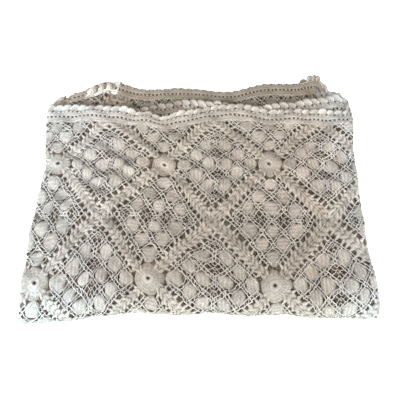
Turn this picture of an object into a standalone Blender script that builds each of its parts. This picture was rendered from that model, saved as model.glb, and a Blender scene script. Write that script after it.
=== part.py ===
"""A crocheted cotton bedspread, folded in four across and in four along.

Flat, the spread is a rectangle about 2.3 m by 1.7 m: a field of worked squares
with an edging all round. It is folded across first, into a strip of four layers,
and then along, so that the last fold is at the near side and wraps all the rest,
and both hems lie at the far side. Every point is placed by its distance across
and along the flat spread, and by its height in the cloth's own thickness.

Axes: +X across the folded stack, +Y from the near fold to the hems, +Z up.
The origin is at the middle of the stack's box, on the surface that it lies on.
"""

import math

import bmesh
import bpy
import numpy as np

# The cloth, in metres
LAYER_PITCH = 0.0033       # from one layer's middle to the next one's
CLOTH_THICKNESS = 0.0025
EDGING_THICKNESS = 0.0023
EDGING_WIDTH = 0.037
JOIN_GAP = 0.0003          # between the field and the edging worked onto it

# The folded stack, before its outline is made uneven
HALF_WIDTH = 0.297
NEAR_EDGE = -0.2527
SIDE_SHORT = 0.012         # the side edges stop this far short of the fold over them
FAR_FOLD = 0.204           # the fold that lies under the lower hems
UPPER_HEM = 0.150          # where the top strip's hems end, on average
LOWER_HEM = 0.208          # where the hems under it end, on average
CENTRE_X = 0.00017         # the settled stack's own middle, which becomes the origin
CENTRE_Y = -0.01155

STRIP = 4 * LAYER_PITCH    # the cloth folded in four across

# The folding across: distances go from one side edge to the other.
# Columns: length of run, radius of the turn after it, its sense (+1 left, -1 right)
LEFT_CENTRE = -HALF_WIDTH + 2 * LAYER_PITCH
RIGHT_CENTRE = HALF_WIDTH - LAYER_PITCH
SIDE_EDGE = HALF_WIDTH - SIDE_SHORT
ACROSS = (
    (SIDE_EDGE - LEFT_CENTRE, 1.5 * LAYER_PITCH, -1),
    (RIGHT_CENTRE - LEFT_CENTRE, 0.5 * LAYER_PITCH, -1),
    (RIGHT_CENTRE - LEFT_CENTRE, 0.5 * LAYER_PITCH, +1),
    (SIDE_EDGE - LEFT_CENTRE, 0.0, 0),
)
ACROSS_START = (SIDE_EDGE, -1.5 * LAYER_PITCH, math.pi)

# The folding along: distances go from the upper hem to the lower one.
NEAR_CENTRE = NEAR_EDGE + 2 * STRIP
FAR_CENTRE = FAR_FOLD - STRIP
ALONG = (
    (UPPER_HEM - NEAR_CENTRE, 1.5 * STRIP, +1),
    (FAR_CENTRE - NEAR_CENTRE, 0.5 * STRIP, +1),
    (FAR_CENTRE - NEAR_CENTRE, 0.5 * STRIP, -1),
    (LOWER_HEM - NEAR_CENTRE, 0.0, 0),
)
ALONG_START = (UPPER_HEM, 3.5 * STRIP, math.pi)

# How far each hem runs past its average line, by the distance across.
# Columns: layer (0 to 3 in the folding across), place in its run, metres past the line
UPPER_HEM_ROWS = (
    (0, 0.00, -0.012), (0, 0.50, -0.006), (0, 0.90, -0.004),
    (1, 0.00, 0.010), (1, 0.07, 0.010), (1, 0.22, 0.005), (1, 0.32, -0.010), (1, 0.382, -0.023),
    (1, 0.44, -0.008), (1, 0.56, 0.009), (1, 0.64, 0.007), (1, 0.74, -0.005), (1, 0.98, -0.003),
    (2, 0.00, 0.000), (2, 0.09, 0.024), (2, 0.20, 0.016), (2, 0.33, 0.004), (2, 0.45, 0.019),
    (2, 0.54, 0.023), (2, 0.63, 0.014), (2, 0.76, -0.003), (2, 0.97, 0.002),
    (3, 0.05, -0.002), (3, 0.40, -0.010), (3, 1.00, -0.014),
)
LOWER_HEM_ROWS = (
    (0, 0.00, 0.036), (0, 0.07, 0.032), (0, 0.16, 0.020), (0, 0.24, 0.022), (0, 0.40, -0.003),
    (0, 0.57, 0.010), (0, 0.68, 0.002), (0, 0.84, 0.026), (0, 0.94, -0.004), (0, 0.99, -0.028),
    (1, 0.03, -0.034), (1, 0.16, 0.008), (1, 0.32, -0.010), (1, 0.60, -0.016), (1, 0.80, 0.004),
    (1, 0.97, 0.012),
    (2, 0.03, 0.014), (2, 0.22, 0.006), (2, 0.40, -0.014), (2, 0.68, -0.008), (2, 0.84, 0.010),
    (2, 0.97, -0.026),
    (3, 0.04, -0.026), (3, 0.16, 0.016), (3, 0.32, -0.006), (3, 0.60, -0.010), (3, 0.78, 0.012),
    (3, 1.00, 0.026),
)

# How far each side edge stops further short, by the distance along.
# Columns: run (0 to 3 in the folding along), place in its run, metres
FIRST_SIDE_ROWS = (
    (0, 0.0, 0.004), (0, 0.6, 0.000), (1, 0.5, 0.002), (2, 0.5, -0.001), (3, 0.70, 0.000), (3, 1.05, 0.018),
)
LAST_SIDE_ROWS = (
    (0, 0.0, 0.006), (0, 0.5, 0.004), (1, 0.5, 0.005), (2, 0.5, 0.003), (3, 0.7, 0.004), (3, 1.05, 0.014),
)
HEM_REACH = 0.20           # an uneven hem is even again this far into the cloth
SIDE_REACH = 0.10

# The stack's outline. Columns: place, metres moved
LEFT_SIDE_ROWS = (
    (-0.26, 0.001), (-0.10, -0.002), (0.01, 0.004), (0.13, -0.009), (0.23, 0.003),
)
RIGHT_SIDE_ROWS = (
    (-0.26, -0.002), (-0.18, 0.001), (-0.07, -0.003), (0.02, 0.000), (0.14, 0.009), (0.24, -0.006),
)
NEAR_SIDE_ROWS = (
    (-0.30, -0.015), (-0.22, -0.010), (-0.16, -0.002), (-0.11, 0.003), (-0.03, 0.000),
    (0.03, 0.003), (0.06, -0.001), (0.15, 0.000), (0.19, -0.005), (0.30, -0.007),
)

# The stack's height is uneven, by these shares of it: a long swell both ways, a shorter
# ripple across, and less height at the left and right sides
SWELL = 0.030
RIPPLE = 0.015
SUNK_SIDES = 0.08

# The stack sinks towards its hems: by this share of its height at the lower hems' line
DROOP = 0.12
DROOP_START = 0.09

# How finely the folds are cut into flat facets
RUN_PARTS_ACROSS = 8
TURN_PARTS_ACROSS = (5, 4, 4)
RUN_PARTS_ALONG = (6, 5, 5, 9)
TURN_PARTS_ALONG = (8, 6, 4)


def course_length(course):
    """The whole length of a course of straight runs and half turns."""
    return sum(run + math.pi * radius for run, radius, sense in course)


def follow(course, start, distance):
    """Points, headings and left-hand normals at distances along a course."""
    distance = np.asarray(distance, dtype=float)
    first, second, heading = start
    place_a = np.zeros_like(distance)
    place_b = np.zeros_like(distance)
    turned = np.zeros_like(distance)
    reached = 0.0
    for index, (run, radius, sense) in enumerate(course):
        is_last = index == len(course) - 1
        low = -np.inf if index == 0 else reached
        here = (distance >= low) & ((distance < reached + run) | is_last)
        step = distance[here] - reached
        place_a[here] = first + step * math.cos(heading)
        place_b[here] = second + step * math.sin(heading)
        turned[here] = heading
        first += run * math.cos(heading)
        second += run * math.sin(heading)
        reached += run
        if not sense:
            continue
        here = (distance >= reached) & (distance < reached + math.pi * radius)
        angle = (distance[here] - reached) / radius
        centre_a = first - sense * radius * math.sin(heading)
        centre_b = second + sense * radius * math.cos(heading)
        bearing = heading - sense * math.pi / 2 + sense * angle
        place_a[here] = centre_a + radius * np.cos(bearing)
        place_b[here] = centre_b + radius * np.sin(bearing)
        turned[here] = heading + sense * angle
        first = 2 * centre_a - first
        second = 2 * centre_b - second
        heading += sense * math.pi
        reached += math.pi * radius
    return place_a, place_b, -np.sin(turned), np.cos(turned)


def distance_at(course, run_index, place):
    """The distance along a course of a place, 0 to 1, in one of its runs."""
    before = sum(run + math.pi * radius for run, radius, sense in course[:run_index])
    return before + place * course[run_index][0]


def eased(rows, value):
    """A smooth curve through rows of (place, height), level at each row."""
    places = np.array([row[0] for row in rows])
    heights = np.array([row[1] for row in rows])
    value = np.clip(value, places[0], places[-1])
    index = np.clip(np.searchsorted(places, value) - 1, 0, len(places) - 2)
    share = (value - places[index]) / (places[index + 1] - places[index])
    share = share * share * (3 - 2 * share)
    return heights[index] + share * (heights[index + 1] - heights[index])


def edge_rows(course, rows):
    """Rows of (run, place, metres) as rows of (distance, metres)."""
    return [(distance_at(course, run, place), metres) for run, place, metres in rows]


FLAT_WIDTH = course_length(ACROSS)
FLAT_LENGTH = course_length(ALONG)
UPPER_HEM_CURVE = edge_rows(ACROSS, UPPER_HEM_ROWS)
LOWER_HEM_CURVE = edge_rows(ACROSS, LOWER_HEM_ROWS)
FIRST_SIDE_CURVE = edge_rows(ALONG, FIRST_SIDE_ROWS)
LAST_SIDE_CURVE = edge_rows(ALONG, LAST_SIDE_ROWS)


def fading(depth, reach):
    """1 at an edge of the cloth, falling to 0 at its reach inside."""
    return np.clip(1 - depth / reach, 0, 1) ** 2


def folded(across, along, height):
    """Where a point of the flat spread lies in the folded stack."""
    side = across + eased(FIRST_SIDE_CURVE, along) * fading(across, SIDE_REACH)
    side = side - eased(LAST_SIDE_CURVE, along) * fading(FLAT_WIDTH - across, SIDE_REACH)
    length = along - eased(UPPER_HEM_CURVE, across) * fading(along, HEM_REACH)
    length = length + eased(LOWER_HEM_CURVE, across) * fading(FLAT_LENGTH - along, HEM_REACH)
    x, rise, normal_x, normal_rise = follow(ACROSS, ACROSS_START, side)
    y, z, normal_y, normal_z = follow(ALONG, ALONG_START, length)
    x = x + height * normal_x
    rise = rise + height * normal_rise
    y = y - rise * normal_y
    z = z - rise * normal_z
    return settled(x, y, z)


def settled(x, y, z):
    """The even stack's points moved to the uneven form that the cloth settles in."""
    share = np.clip(0.5 + 0.5 * x / HALF_WIDTH, 0, 1)
    new_x = x + (1 - share) * eased(LEFT_SIDE_ROWS, y) + share * eased(RIGHT_SIDE_ROWS, y)
    nearness = np.clip(y / NEAR_EDGE, 0, 1)
    new_y = y + eased(NEAR_SIDE_ROWS, x) * nearness ** 2
    loft = 1.0 + SWELL * np.sin(9 * x + 1.1) * np.cos(8 * y - 0.4) - RIPPLE * np.cos(17 * x)
    sunk_corners = 1.0 - SUNK_SIDES * (np.abs(x) / HALF_WIDTH) ** 4
    droop = 1.0 - DROOP * np.clip((y - DROOP_START) / (LOWER_HEM - DROOP_START), 0, 2) ** 2
    above_floor = z - (LAYER_PITCH - CLOTH_THICKNESS) / 2
    return new_x - CENTRE_X, new_y - CENTRE_Y, above_floor * loft * sunk_corners * droop


def even_marks(low, high, parts):
    """Marks at even steps from low, stopping one step short of high."""
    return [low + (high - low) * part / parts for part in range(parts)]


def marks_across(inset):
    """Distances across of the facets' edges, at the same places in all four layers."""
    shared = ACROSS[0][0] - inset
    longer = ACROSS[1][0]
    turns = [math.pi * radius for run, radius, sense in ACROSS]
    marks = even_marks(inset, inset + shared, RUN_PARTS_ACROSS)
    at = inset + shared
    marks += even_marks(at, at + turns[0], TURN_PARTS_ACROSS[0])
    at += turns[0]
    marks += even_marks(at, at + shared, RUN_PARTS_ACROSS) + [at + shared]
    at += longer
    marks += even_marks(at, at + turns[1], TURN_PARTS_ACROSS[1])
    at += turns[1]
    marks += [at] + even_marks(at + longer - shared, at + longer, RUN_PARTS_ACROSS)
    at += longer
    marks += even_marks(at, at + turns[2], TURN_PARTS_ACROSS[2])
    at += turns[2]
    return marks + even_marks(at, at + shared, RUN_PARTS_ACROSS) + [at + shared]


def marks_along(inset):
    """Distances along of the facets' edges."""
    marks = []
    reached = 0.0
    for index, (run, radius, sense) in enumerate(ALONG):
        low = inset if index == 0 else reached
        high = FLAT_LENGTH - inset if index == len(ALONG) - 1 else reached + run
        marks += even_marks(low, high, RUN_PARTS_ALONG[index])
        reached += run
        if sense:
            turn = math.pi * radius
            marks += even_marks(reached, reached + turn, TURN_PARTS_ALONG[index])
            reached += turn
    return marks + [FLAT_LENGTH - inset]


def mesh_object(name, points, faces, material):
    """A closed mesh as an object of its own, its faces pointing out."""
    mesh = bpy.data.meshes.new(name)
    mesh.from_pydata(points, [], faces)
    form = bmesh.new()
    form.from_mesh(mesh)
    bmesh.ops.recalc_face_normals(form, faces=form.faces[:])
    bmesh.ops.triangulate(form, faces=form.faces[:])
    form.to_mesh(mesh)
    form.free()
    mesh.materials.append(material)
    piece = bpy.data.objects.new(name, mesh)
    bpy.context.scene.collection.objects.link(piece)
    return piece


def both_faces(across, along, thickness):
    """The points of the cloth's right side, then of its wrong side."""
    points = []
    for height in (thickness / 2, -thickness / 2):
        x, y, z = folded(np.array(across), np.array(along), height)
        points += list(zip(x.tolist(), y.tolist(), z.tolist()))
    return points


def build_field(material):
    """The field of worked squares, as one cloth in its folds."""
    inset = EDGING_WIDTH + JOIN_GAP
    columns = marks_across(inset)
    rows = marks_along(inset)
    across = [u for v in rows for u in columns]
    along = [v for v in rows for u in columns]
    points = both_faces(across, along, CLOTH_THICKNESS)
    wide, long = len(columns), len(rows)
    under = wide * long
    faces = []
    for j in range(long - 1):
        for i in range(wide - 1):
            corner = j * wide + i
            quad = (corner, corner + 1, corner + wide + 1, corner + wide)
            faces.append(quad)
            faces.append(tuple(under + index for index in reversed(quad)))
    rim = [i for i in range(wide)]
    rim += [j * wide + wide - 1 for j in range(1, long)]
    rim += [(long - 1) * wide + i for i in range(wide - 2, -1, -1)]
    rim += [j * wide for j in range(long - 2, 0, -1)]
    for start, end in zip(rim, rim[1:] + rim[:1]):
        faces.append((end, start, under + start, under + end))
    return mesh_object("bedspread_field", points, faces, material)


def build_edging(material):
    """The edging, worked onto all four sides of the field and folded with it."""
    columns = marks_across(EDGING_WIDTH)
    rows = marks_along(EDGING_WIDTH)
    low, wide_end, long_end = EDGING_WIDTH, columns[-1], rows[-1]
    inner = [(u, low) for u in columns]
    inner += [(wide_end, v) for v in rows[1:]]
    inner += [(u, long_end) for u in reversed(columns[:-1])]
    inner += [(low, v) for v in reversed(rows[1:-1])]
    outer = []
    for u, v in inner:
        if v == low:
            v = 0.0
        if v == long_end:
            v = FLAT_LENGTH
        if u == low:
            u = 0.0
        if u == wide_end:
            u = FLAT_WIDTH
        outer.append((u, v))
    ring = inner + outer
    points = both_faces([u for u, v in ring], [v for u, v in ring], EDGING_THICKNESS)
    count = len(inner)
    under = 2 * count
    faces = []
    for start in range(count):
        end = (start + 1) % count
        faces.append((start, end, count + end, count + start))
        faces.append((under + start, under + count + start, under + count + end, under + end))
        faces.append((end, start, under + start, under + end))
        faces.append((count + start, count + end, under + count + end, under + count + start))
    return mesh_object("scalloped_edging", points, faces, material)


def cotton(name, colour, roughness):
    """Undyed cotton yarn, worked up."""
    material = bpy.data.materials.new(name)
    material.use_nodes = True
    shader = material.node_tree.nodes["Principled BSDF"]
    shader.inputs["Base Color"].default_value = (*colour, 1.0)
    shader.inputs["Roughness"].default_value = roughness
    shader.inputs["Metallic"].default_value = 0.0
    return material


for leftover in list(bpy.data.objects):
    bpy.data.objects.remove(leftover, do_unlink=True)

build_field(cotton("field_cotton", (0.75, 0.70, 0.62), 0.9))
build_edging(cotton("edging_cotton", (0.80, 0.76, 0.69), 0.85))
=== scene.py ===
import math

import bpy
import numpy as np
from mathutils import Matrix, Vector


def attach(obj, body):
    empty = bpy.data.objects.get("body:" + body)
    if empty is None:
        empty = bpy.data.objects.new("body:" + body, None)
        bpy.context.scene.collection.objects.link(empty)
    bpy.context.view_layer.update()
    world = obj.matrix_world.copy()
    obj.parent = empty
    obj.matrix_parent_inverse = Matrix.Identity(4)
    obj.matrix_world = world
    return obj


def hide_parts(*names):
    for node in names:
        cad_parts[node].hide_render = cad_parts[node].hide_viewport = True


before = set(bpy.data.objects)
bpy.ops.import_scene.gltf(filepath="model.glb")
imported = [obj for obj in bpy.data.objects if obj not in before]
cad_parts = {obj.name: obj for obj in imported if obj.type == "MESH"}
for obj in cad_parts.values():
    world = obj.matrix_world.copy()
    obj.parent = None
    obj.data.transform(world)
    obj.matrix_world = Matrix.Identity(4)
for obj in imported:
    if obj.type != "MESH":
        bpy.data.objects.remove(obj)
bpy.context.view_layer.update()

# --- Camera, light and floor ---
# The camera looks down over the whole pile from the near side, as a person does who
# has just laid it on a table. Soft light comes from a window at the left, and weaker
# lamps fill in from the far side and from both sides.

CAMERA_PLACE = (0.0, -0.371, 0.753)
CAMERA_TILT = math.radians(25.0)  # from straight down
CAMERA_LENS = 38.97
SENSOR_WIDTH = 36.0
FLOOR_SIZE = 8.0
FLOOR_DROP = 0.0004  # the floor lies this far under the pile
FLOOR_WHITE = (0.8, 0.8, 0.8, 1)
FLOOR_GLOW = 0.75  # keeps the floor evenly white
SKY_STRENGTH = 0.48
PURE_WHITE = (1.0, 1.0, 1.0, 1)
# Columns: name, place, what it points at, metres wide, watts, colour
LAMPS = (
    ("window_light", (-1.45, -0.95, 0.95), (-0.05, 0.0, 0.03), 0.8, 42, (1.0, 1.0, 1.0)),
    ("fill_light", (1.4, 0.8, 1.7), (0.0, 0.0, 0.03), 1.8, 6, (1.0, 0.95, 0.89)),
    ("left_light", (-0.8, -0.3, 0.5), (-0.25, 0.0, 0.03), 0.5, 12, (0.78, 0.89, 1.0)),
    ("right_light", (0.85, -0.35, 0.22), (0.3, -0.05, 0.02), 0.4, 15, (0.92, 0.96, 1.0)),
)

bpy.ops.object.camera_add(location=CAMERA_PLACE, rotation=(CAMERA_TILT, 0, 0))
camera = bpy.context.object
camera.data.lens = CAMERA_LENS
camera.data.sensor_width = SENSOR_WIDTH
camera.data.dof.use_dof = False
bpy.context.scene.camera = camera


def set_inputs(node, values):
    """Gives a node's inputs their values, by name."""
    for socket, value in values.items():
        node.inputs[socket].default_value = value


bpy.ops.mesh.primitive_plane_add(size=FLOOR_SIZE, location=(0, 0, -FLOOR_DROP))
floor = bpy.context.object
floor.name = "floor"
pale = bpy.data.materials.new("pale_floor")
pale.use_nodes = True
set_inputs(pale.node_tree.nodes["Principled BSDF"], {
    "Base Color": FLOOR_WHITE, "Roughness": 0.9,
    "Emission Color": PURE_WHITE, "Emission Strength": FLOOR_GLOW,
})
floor.data.materials.append(pale)

for name, place, target, size, watts, colour in LAMPS:
    bpy.ops.object.light_add(type="AREA", location=place)
    lamp = bpy.context.object
    lamp.name = name
    lamp.data.size = size
    lamp.data.energy = watts
    lamp.data.color = colour
    lamp.rotation_euler = (Vector(target) - Vector(place)).to_track_quat("-Z", "Y").to_euler()

sky = bpy.data.worlds.new("studio")
sky.use_nodes = True
set_inputs(sky.node_tree.nodes["Background"], {"Color": PURE_WHITE, "Strength": SKY_STRENGTH})
bpy.context.scene.world = sky
bpy.context.scene.view_settings.view_transform = "Standard"

# --- The cloth in its folds ---
# The spread is one crocheted rectangle of cotton, folded in four across and then
# in four along, so that the last fold is at the near side. Its ground is the net
# that the squares are worked on, here one thin sheet that goes through all folds.

LAYER_PITCH = 0.0033  # from one layer to the next
CLOTH_THICKNESS = 0.0025
EDGING_WIDTH = 0.037
HALF_WIDTH = 0.297  # of the pile, between its two side folds
NEAR_EDGE = -0.2527
SIDE_SHORT = 0.012  # the spread's free sides end this far inside the right one
FAR_FOLD = 0.204
UPPER_HEM = 0.15
LOWER_HEM = 0.208
CENTRE_X = 0.00017  # the settled pile's middle, before it is brought to the origin
CENTRE_Y = -0.01155
FOUR_LAYERS = 4 * LAYER_PITCH

# Flat places are metres across from the spread's first side and along from its first
# hem. A folding is a row of straight runs, each with a half turn into the next one.
LEFT_CENTRE = -HALF_WIDTH + 2 * LAYER_PITCH
RIGHT_CENTRE = HALF_WIDTH - LAYER_PITCH
SIDE_EDGE = HALF_WIDTH - SIDE_SHORT
# Columns: length of the run, radius of the turn after it, its sense (+1 left, -1 right)
ACROSS = (
    (SIDE_EDGE - LEFT_CENTRE, 1.5 * LAYER_PITCH, -1),
    (RIGHT_CENTRE - LEFT_CENTRE, 0.5 * LAYER_PITCH, -1),
    (RIGHT_CENTRE - LEFT_CENTRE, 0.5 * LAYER_PITCH, +1),
    (SIDE_EDGE - LEFT_CENTRE, 0.0, 0),
)
ACROSS_START = (SIDE_EDGE, -1.5 * LAYER_PITCH, math.pi)  # place, height and heading
NEAR_CENTRE = NEAR_EDGE + 2 * FOUR_LAYERS
FAR_CENTRE = FAR_FOLD - FOUR_LAYERS
ALONG = (
    (UPPER_HEM - NEAR_CENTRE, 1.5 * FOUR_LAYERS, +1),
    (FAR_CENTRE - NEAR_CENTRE, 0.5 * FOUR_LAYERS, +1),
    (FAR_CENTRE - NEAR_CENTRE, 0.5 * FOUR_LAYERS, -1),
    (LOWER_HEM - NEAR_CENTRE, 0.0, 0),
)
ALONG_START = (UPPER_HEM, 3.5 * FOUR_LAYERS, math.pi)

# Columns: layer (0 to 3 in the folding across), place in its run, metres past the line
UPPER_HEM_ROWS = (
    (0, 0.0, -0.012), (0, 0.5, -0.006), (0, 0.9, -0.004),
    (1, 0.0, 0.01), (1, 0.07, 0.01), (1, 0.22, 0.005), (1, 0.32, -0.01), (1, 0.382, -0.023),
    (1, 0.44, -0.008), (1, 0.56, 0.009), (1, 0.64, 0.007), (1, 0.74, -0.005), (1, 0.98, -0.003),
    (2, 0.0, 0.03), (2, 0.03, 0.041), (2, 0.09, 0.029), (2, 0.2, 0.018), (2, 0.33, 0.004),
    (2, 0.45, 0.019), (2, 0.54, 0.023), (2, 0.63, 0.014), (2, 0.76, -0.003), (2, 0.97, 0.002),
    (3, 0.05, -0.002), (3, 0.4, -0.01), (3, 1.0, -0.014),
)
LOWER_HEM_ROWS = (
    (0, 0.0, 0.052), (0, 0.07, 0.046), (0, 0.16, 0.033), (0, 0.24, 0.034), (0, 0.4, 0.008),
    (0, 0.57, 0.021), (0, 0.68, 0.014), (0, 0.84, 0.046), (0, 0.94, 0.008), (0, 0.99, -0.022),
    (1, 0.03, -0.034), (1, 0.16, 0.008), (1, 0.32, -0.01), (1, 0.6, -0.016), (1, 0.8, 0.004),
    (1, 0.97, -0.002),
    (2, 0.03, -0.002), (2, 0.22, 0.006), (2, 0.4, -0.014), (2, 0.68, -0.008), (2, 0.84, 0.01),
    (2, 0.97, -0.026),
    (3, 0.04, -0.026), (3, 0.16, 0.016), (3, 0.32, -0.006), (3, 0.6, -0.01), (3, 0.78, 0.012),
    (3, 1.0, 0.026),
)
# Columns: run (0 to 3 in the folding along), place in its run, metres further short
FIRST_SIDE_ROWS = (
    (0, 0.0, 0.004), (0, 0.6, 0.0), (1, 0.5, 0.002), (2, 0.5, -0.001), (3, 0.7, 0.0),
    (3, 1.05, 0.018),
)
LAST_SIDE_ROWS = (
    (0, 0.0, 0.006), (0, 0.5, 0.004), (1, 0.5, 0.005), (2, 0.5, 0.003), (3, 0.7, 0.004),
    (3, 1.05, 0.014),
)
HEM_REACH = 0.2  # so far inside the spread its hems' unevenness fades out
SIDE_REACH = 0.1

# Columns: place along the side, metres moved to the right or away
LEFT_SIDE_ROWS = (
    (-0.26, 0.001), (-0.1, -0.002), (0.01, 0.004), (0.13, -0.009), (0.23, 0.003),
)
RIGHT_SIDE_ROWS = (
    (-0.26, -0.004), (-0.21, -0.001), (-0.16, -0.006), (-0.08, -0.006), (0.03, -0.003), (0.14, 0.008),
    (0.24, -0.006),
)
NEAR_SIDE_ROWS = (
    (-0.3, -0.015), (-0.22, -0.01), (-0.16, -0.002), (-0.11, 0.003), (-0.03, 0.0),
    (0.03, 0.003), (0.06, -0.001), (0.15, 0.0), (0.19, -0.005), (0.3, -0.007),
)
# Shares of the pile's height
SWELL = 0.03  # in long waves over the whole pile
RIPPLE = 0.015  # in shorter ones from left to right
SUNK_SIDES = 0.08  # lost at the side folds
DROOP = 0.12  # lost at the far hems, from the place after it on
DROOP_START = 0.09


def course_length(course):
    """The length of a course of straight runs and half turns."""
    return sum(run + math.pi * radius for run, radius, sense in course)


def follow(course, start, distance):
    """Points and left-hand normals along a course, whose two end runs go on straight."""
    distance = np.asarray(distance, dtype=float)
    first, second, heading = start
    place_a, place_b, headings = np.zeros((3, *distance.shape))
    reached = 0.0
    for index, (run, radius, sense) in enumerate(course):
        here = ((distance >= reached) | (index == 0)) & ((distance < reached + run) | (sense == 0))
        step = distance[here] - reached
        place_a[here] = first + step * math.cos(heading)
        place_b[here] = second + step * math.sin(heading)
        headings[here] = heading
        first += run * math.cos(heading)
        second += run * math.sin(heading)
        reached += run
        if not sense:
            continue
        here = (distance >= reached) & (distance < reached + math.pi * radius)
        angle = (distance[here] - reached) / radius
        centre_a = first - sense * radius * math.sin(heading)
        centre_b = second + sense * radius * math.cos(heading)
        bearing = heading - sense * math.pi / 2 + sense * angle
        place_a[here] = centre_a + radius * np.cos(bearing)
        place_b[here] = centre_b + radius * np.sin(bearing)
        headings[here] = heading + sense * angle
        first = 2 * centre_a - first
        second = 2 * centre_b - second
        heading += sense * math.pi
        reached += math.pi * radius
    return place_a, place_b, -np.sin(headings), np.cos(headings)


def distance_at(course, run_index, place):
    """The distance along a course of a place, 0 to 1, in one of its runs."""
    return course_length(course[:run_index]) + place * course[run_index][0]


def eased(rows, value):
    """A smooth curve through rows of (place, metres), level at each row."""
    places, heights = np.array(rows).T
    value = np.clip(value, places[0], places[-1])
    index = np.clip(np.searchsorted(places, value) - 1, 0, len(places) - 2)
    share = (value - places[index]) / (places[index + 1] - places[index])
    share = share * share * (3 - 2 * share)
    return heights[index] + share * (heights[index + 1] - heights[index])


def edge_rows(course, rows):
    """Rows of (run, place, metres) as rows of (distance, metres)."""
    return [(distance_at(course, run, place), metres) for run, place, metres in rows]


FLAT_WIDTH = course_length(ACROSS)
FLAT_LENGTH = course_length(ALONG)
UPPER_HEM_CURVE = edge_rows(ACROSS, UPPER_HEM_ROWS)
LOWER_HEM_CURVE = edge_rows(ACROSS, LOWER_HEM_ROWS)
FIRST_SIDE_CURVE = edge_rows(ALONG, FIRST_SIDE_ROWS)
LAST_SIDE_CURVE = edge_rows(ALONG, LAST_SIDE_ROWS)


def fading(depth, reach):
    """1 at an edge of the cloth, falling to 0 at its reach inside."""
    return np.clip(1 - depth / reach, 0, 1) ** 2


def settled(x, y, z):
    """The even pile's points moved to where the cloth settles, unevenly."""
    share = np.clip(0.5 + 0.5 * x / HALF_WIDTH, 0, 1)
    new_x = x + (1 - share) * eased(LEFT_SIDE_ROWS, y) + share * eased(RIGHT_SIDE_ROWS, y)
    nearness = np.clip(y / NEAR_EDGE, 0, 1)
    new_y = y + eased(NEAR_SIDE_ROWS, x) * nearness ** 2
    loft = 1.0 + SWELL * np.sin(9 * x + 1.1) * np.cos(8 * y - 0.4) - RIPPLE * np.cos(17 * x)
    sunk_sides = 1.0 - SUNK_SIDES * np.clip(np.abs(x) / HALF_WIDTH, 0, 1.1) ** 4
    droop = 1.0 - DROOP * np.clip((y - DROOP_START) / (LOWER_HEM - DROOP_START), 0, 2) ** 2
    above_floor = z - (LAYER_PITCH - CLOTH_THICKNESS) / 2
    return new_x - CENTRE_X, new_y - CENTRE_Y, above_floor * loft * sunk_sides * droop


def folded(across, along, height):
    """Where points of the flat spread lie in the folded pile."""
    side = across + eased(FIRST_SIDE_CURVE, along) * fading(across, SIDE_REACH)
    side = side - eased(LAST_SIDE_CURVE, along) * fading(FLAT_WIDTH - across, SIDE_REACH)
    length = along - eased(UPPER_HEM_CURVE, across) * fading(along, HEM_REACH)
    length = length + eased(LOWER_HEM_CURVE, across) * fading(FLAT_LENGTH - along, HEM_REACH)
    x, rise, normal_x, normal_rise = follow(ACROSS, ACROSS_START, side)
    y, z, normal_y, normal_z = follow(ALONG, ALONG_START, length)
    x = x + height * normal_x
    rise = rise + height * normal_rise
    return settled(x, y - rise * normal_y, z - rise * normal_z)


FLOOR_GAP = 0.0002  # no point of the cloth lies lower than this
RUMPLE = 0.004  # how high the upper layers' rumples are,
RUMPLED_FROM = 0.05  # so far up the pile, and less below it,
RUMPLE_SHARE = 0.68  # times this at the pile's middle,
RUMPLE_LEFT = 0.45  # and this much more for each metre to the left
CREASE_PLACE = -0.0775  # an old fold line across the pile, along a seam
CREASE_WIDTH = 0.0055
CREASE_DEPTH = 0.0016
CREASE_WAVER = 0.002


def facing(across, along):
    """1 where the cloth's right side lies outwards or up, -1 where it is turned over."""
    places = [distance_at(ACROSS, run, place) for run, place in ((1, 1), (2, 0), (2, 1), (3, 0))]
    first_half = np.interp(across, places, (1, -1, -1, 1))
    last_half = np.interp(across, places[2:], (1, -1))
    return np.where(along < FLAT_LENGTH / 2, first_half, last_half)


def rumpled(x, y, z):
    """Soft rumples 4 to 8 cm long in the upper layers, and the old crease."""
    upper = np.clip(z / RUMPLED_FROM, 0, 1) ** 3
    wave = np.sin(88 * x + 31 * y + 2.2 * np.sin(21 * y)) * np.cos(74 * y - 23 * x)
    wave = wave + 0.7 * np.sin(47 * x - 66 * y + 1.7)
    wave = wave + 0.5 * np.sin(150 * x + 60 * y) * np.sin(130 * y)
    from_crease = y - CREASE_PLACE - CREASE_WAVER * np.sin(13 * x)
    crease = CREASE_DEPTH * np.exp(-(from_crease / CREASE_WIDTH) ** 2)
    return x, y, z + upper * (RUMPLE * wave * (RUMPLE_SHARE - RUMPLE_LEFT * x) - crease)


def points_of(mesh):
    """A mesh's points as an array of rows."""
    points = np.empty(len(mesh.vertices) * 3)
    mesh.vertices.foreach_get("co", points)
    return points.reshape(-1, 3)


def move_points(mesh, points):
    """Gives a mesh's points new places."""
    mesh.vertices.foreach_set("co", np.ascontiguousarray(points, dtype=np.float32).ravel())
    mesh.update()


def fold(piece):
    """Folds a flat piece, and keeps its flat place in metres as its UV map."""
    mesh = piece.data
    flat = points_of(mesh)
    x, y, z = folded(flat[:, 0], flat[:, 1], flat[:, 2] * facing(flat[:, 0], flat[:, 1]))
    x, y, z = rumpled(x, y, z)
    if not mesh.uv_layers:
        mesh.uv_layers.new(name="flat_place")
    corners = np.empty(len(mesh.loops), dtype=np.int32)
    mesh.loops.foreach_get("vertex_index", corners)
    mesh.uv_layers[0].data.foreach_set("uv", flat[corners, :2].astype(np.float32).ravel())
    move_points(mesh, np.stack([x, y, np.maximum(z, FLOOR_GAP)], axis=1))


def marks(course, run_parts, turn_parts):
    """Distances along a course: even steps in each run, finer ones in each turn."""
    places = []
    reached = 0.0
    for (run, radius, sense), parts in zip(course, run_parts):
        for length, steps in ((run, parts), (math.pi * radius, turn_parts * abs(sense))):
            places += [reached + length * step / steps for step in range(steps)]
            reached += length
    return np.array(places + [reached])


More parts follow.
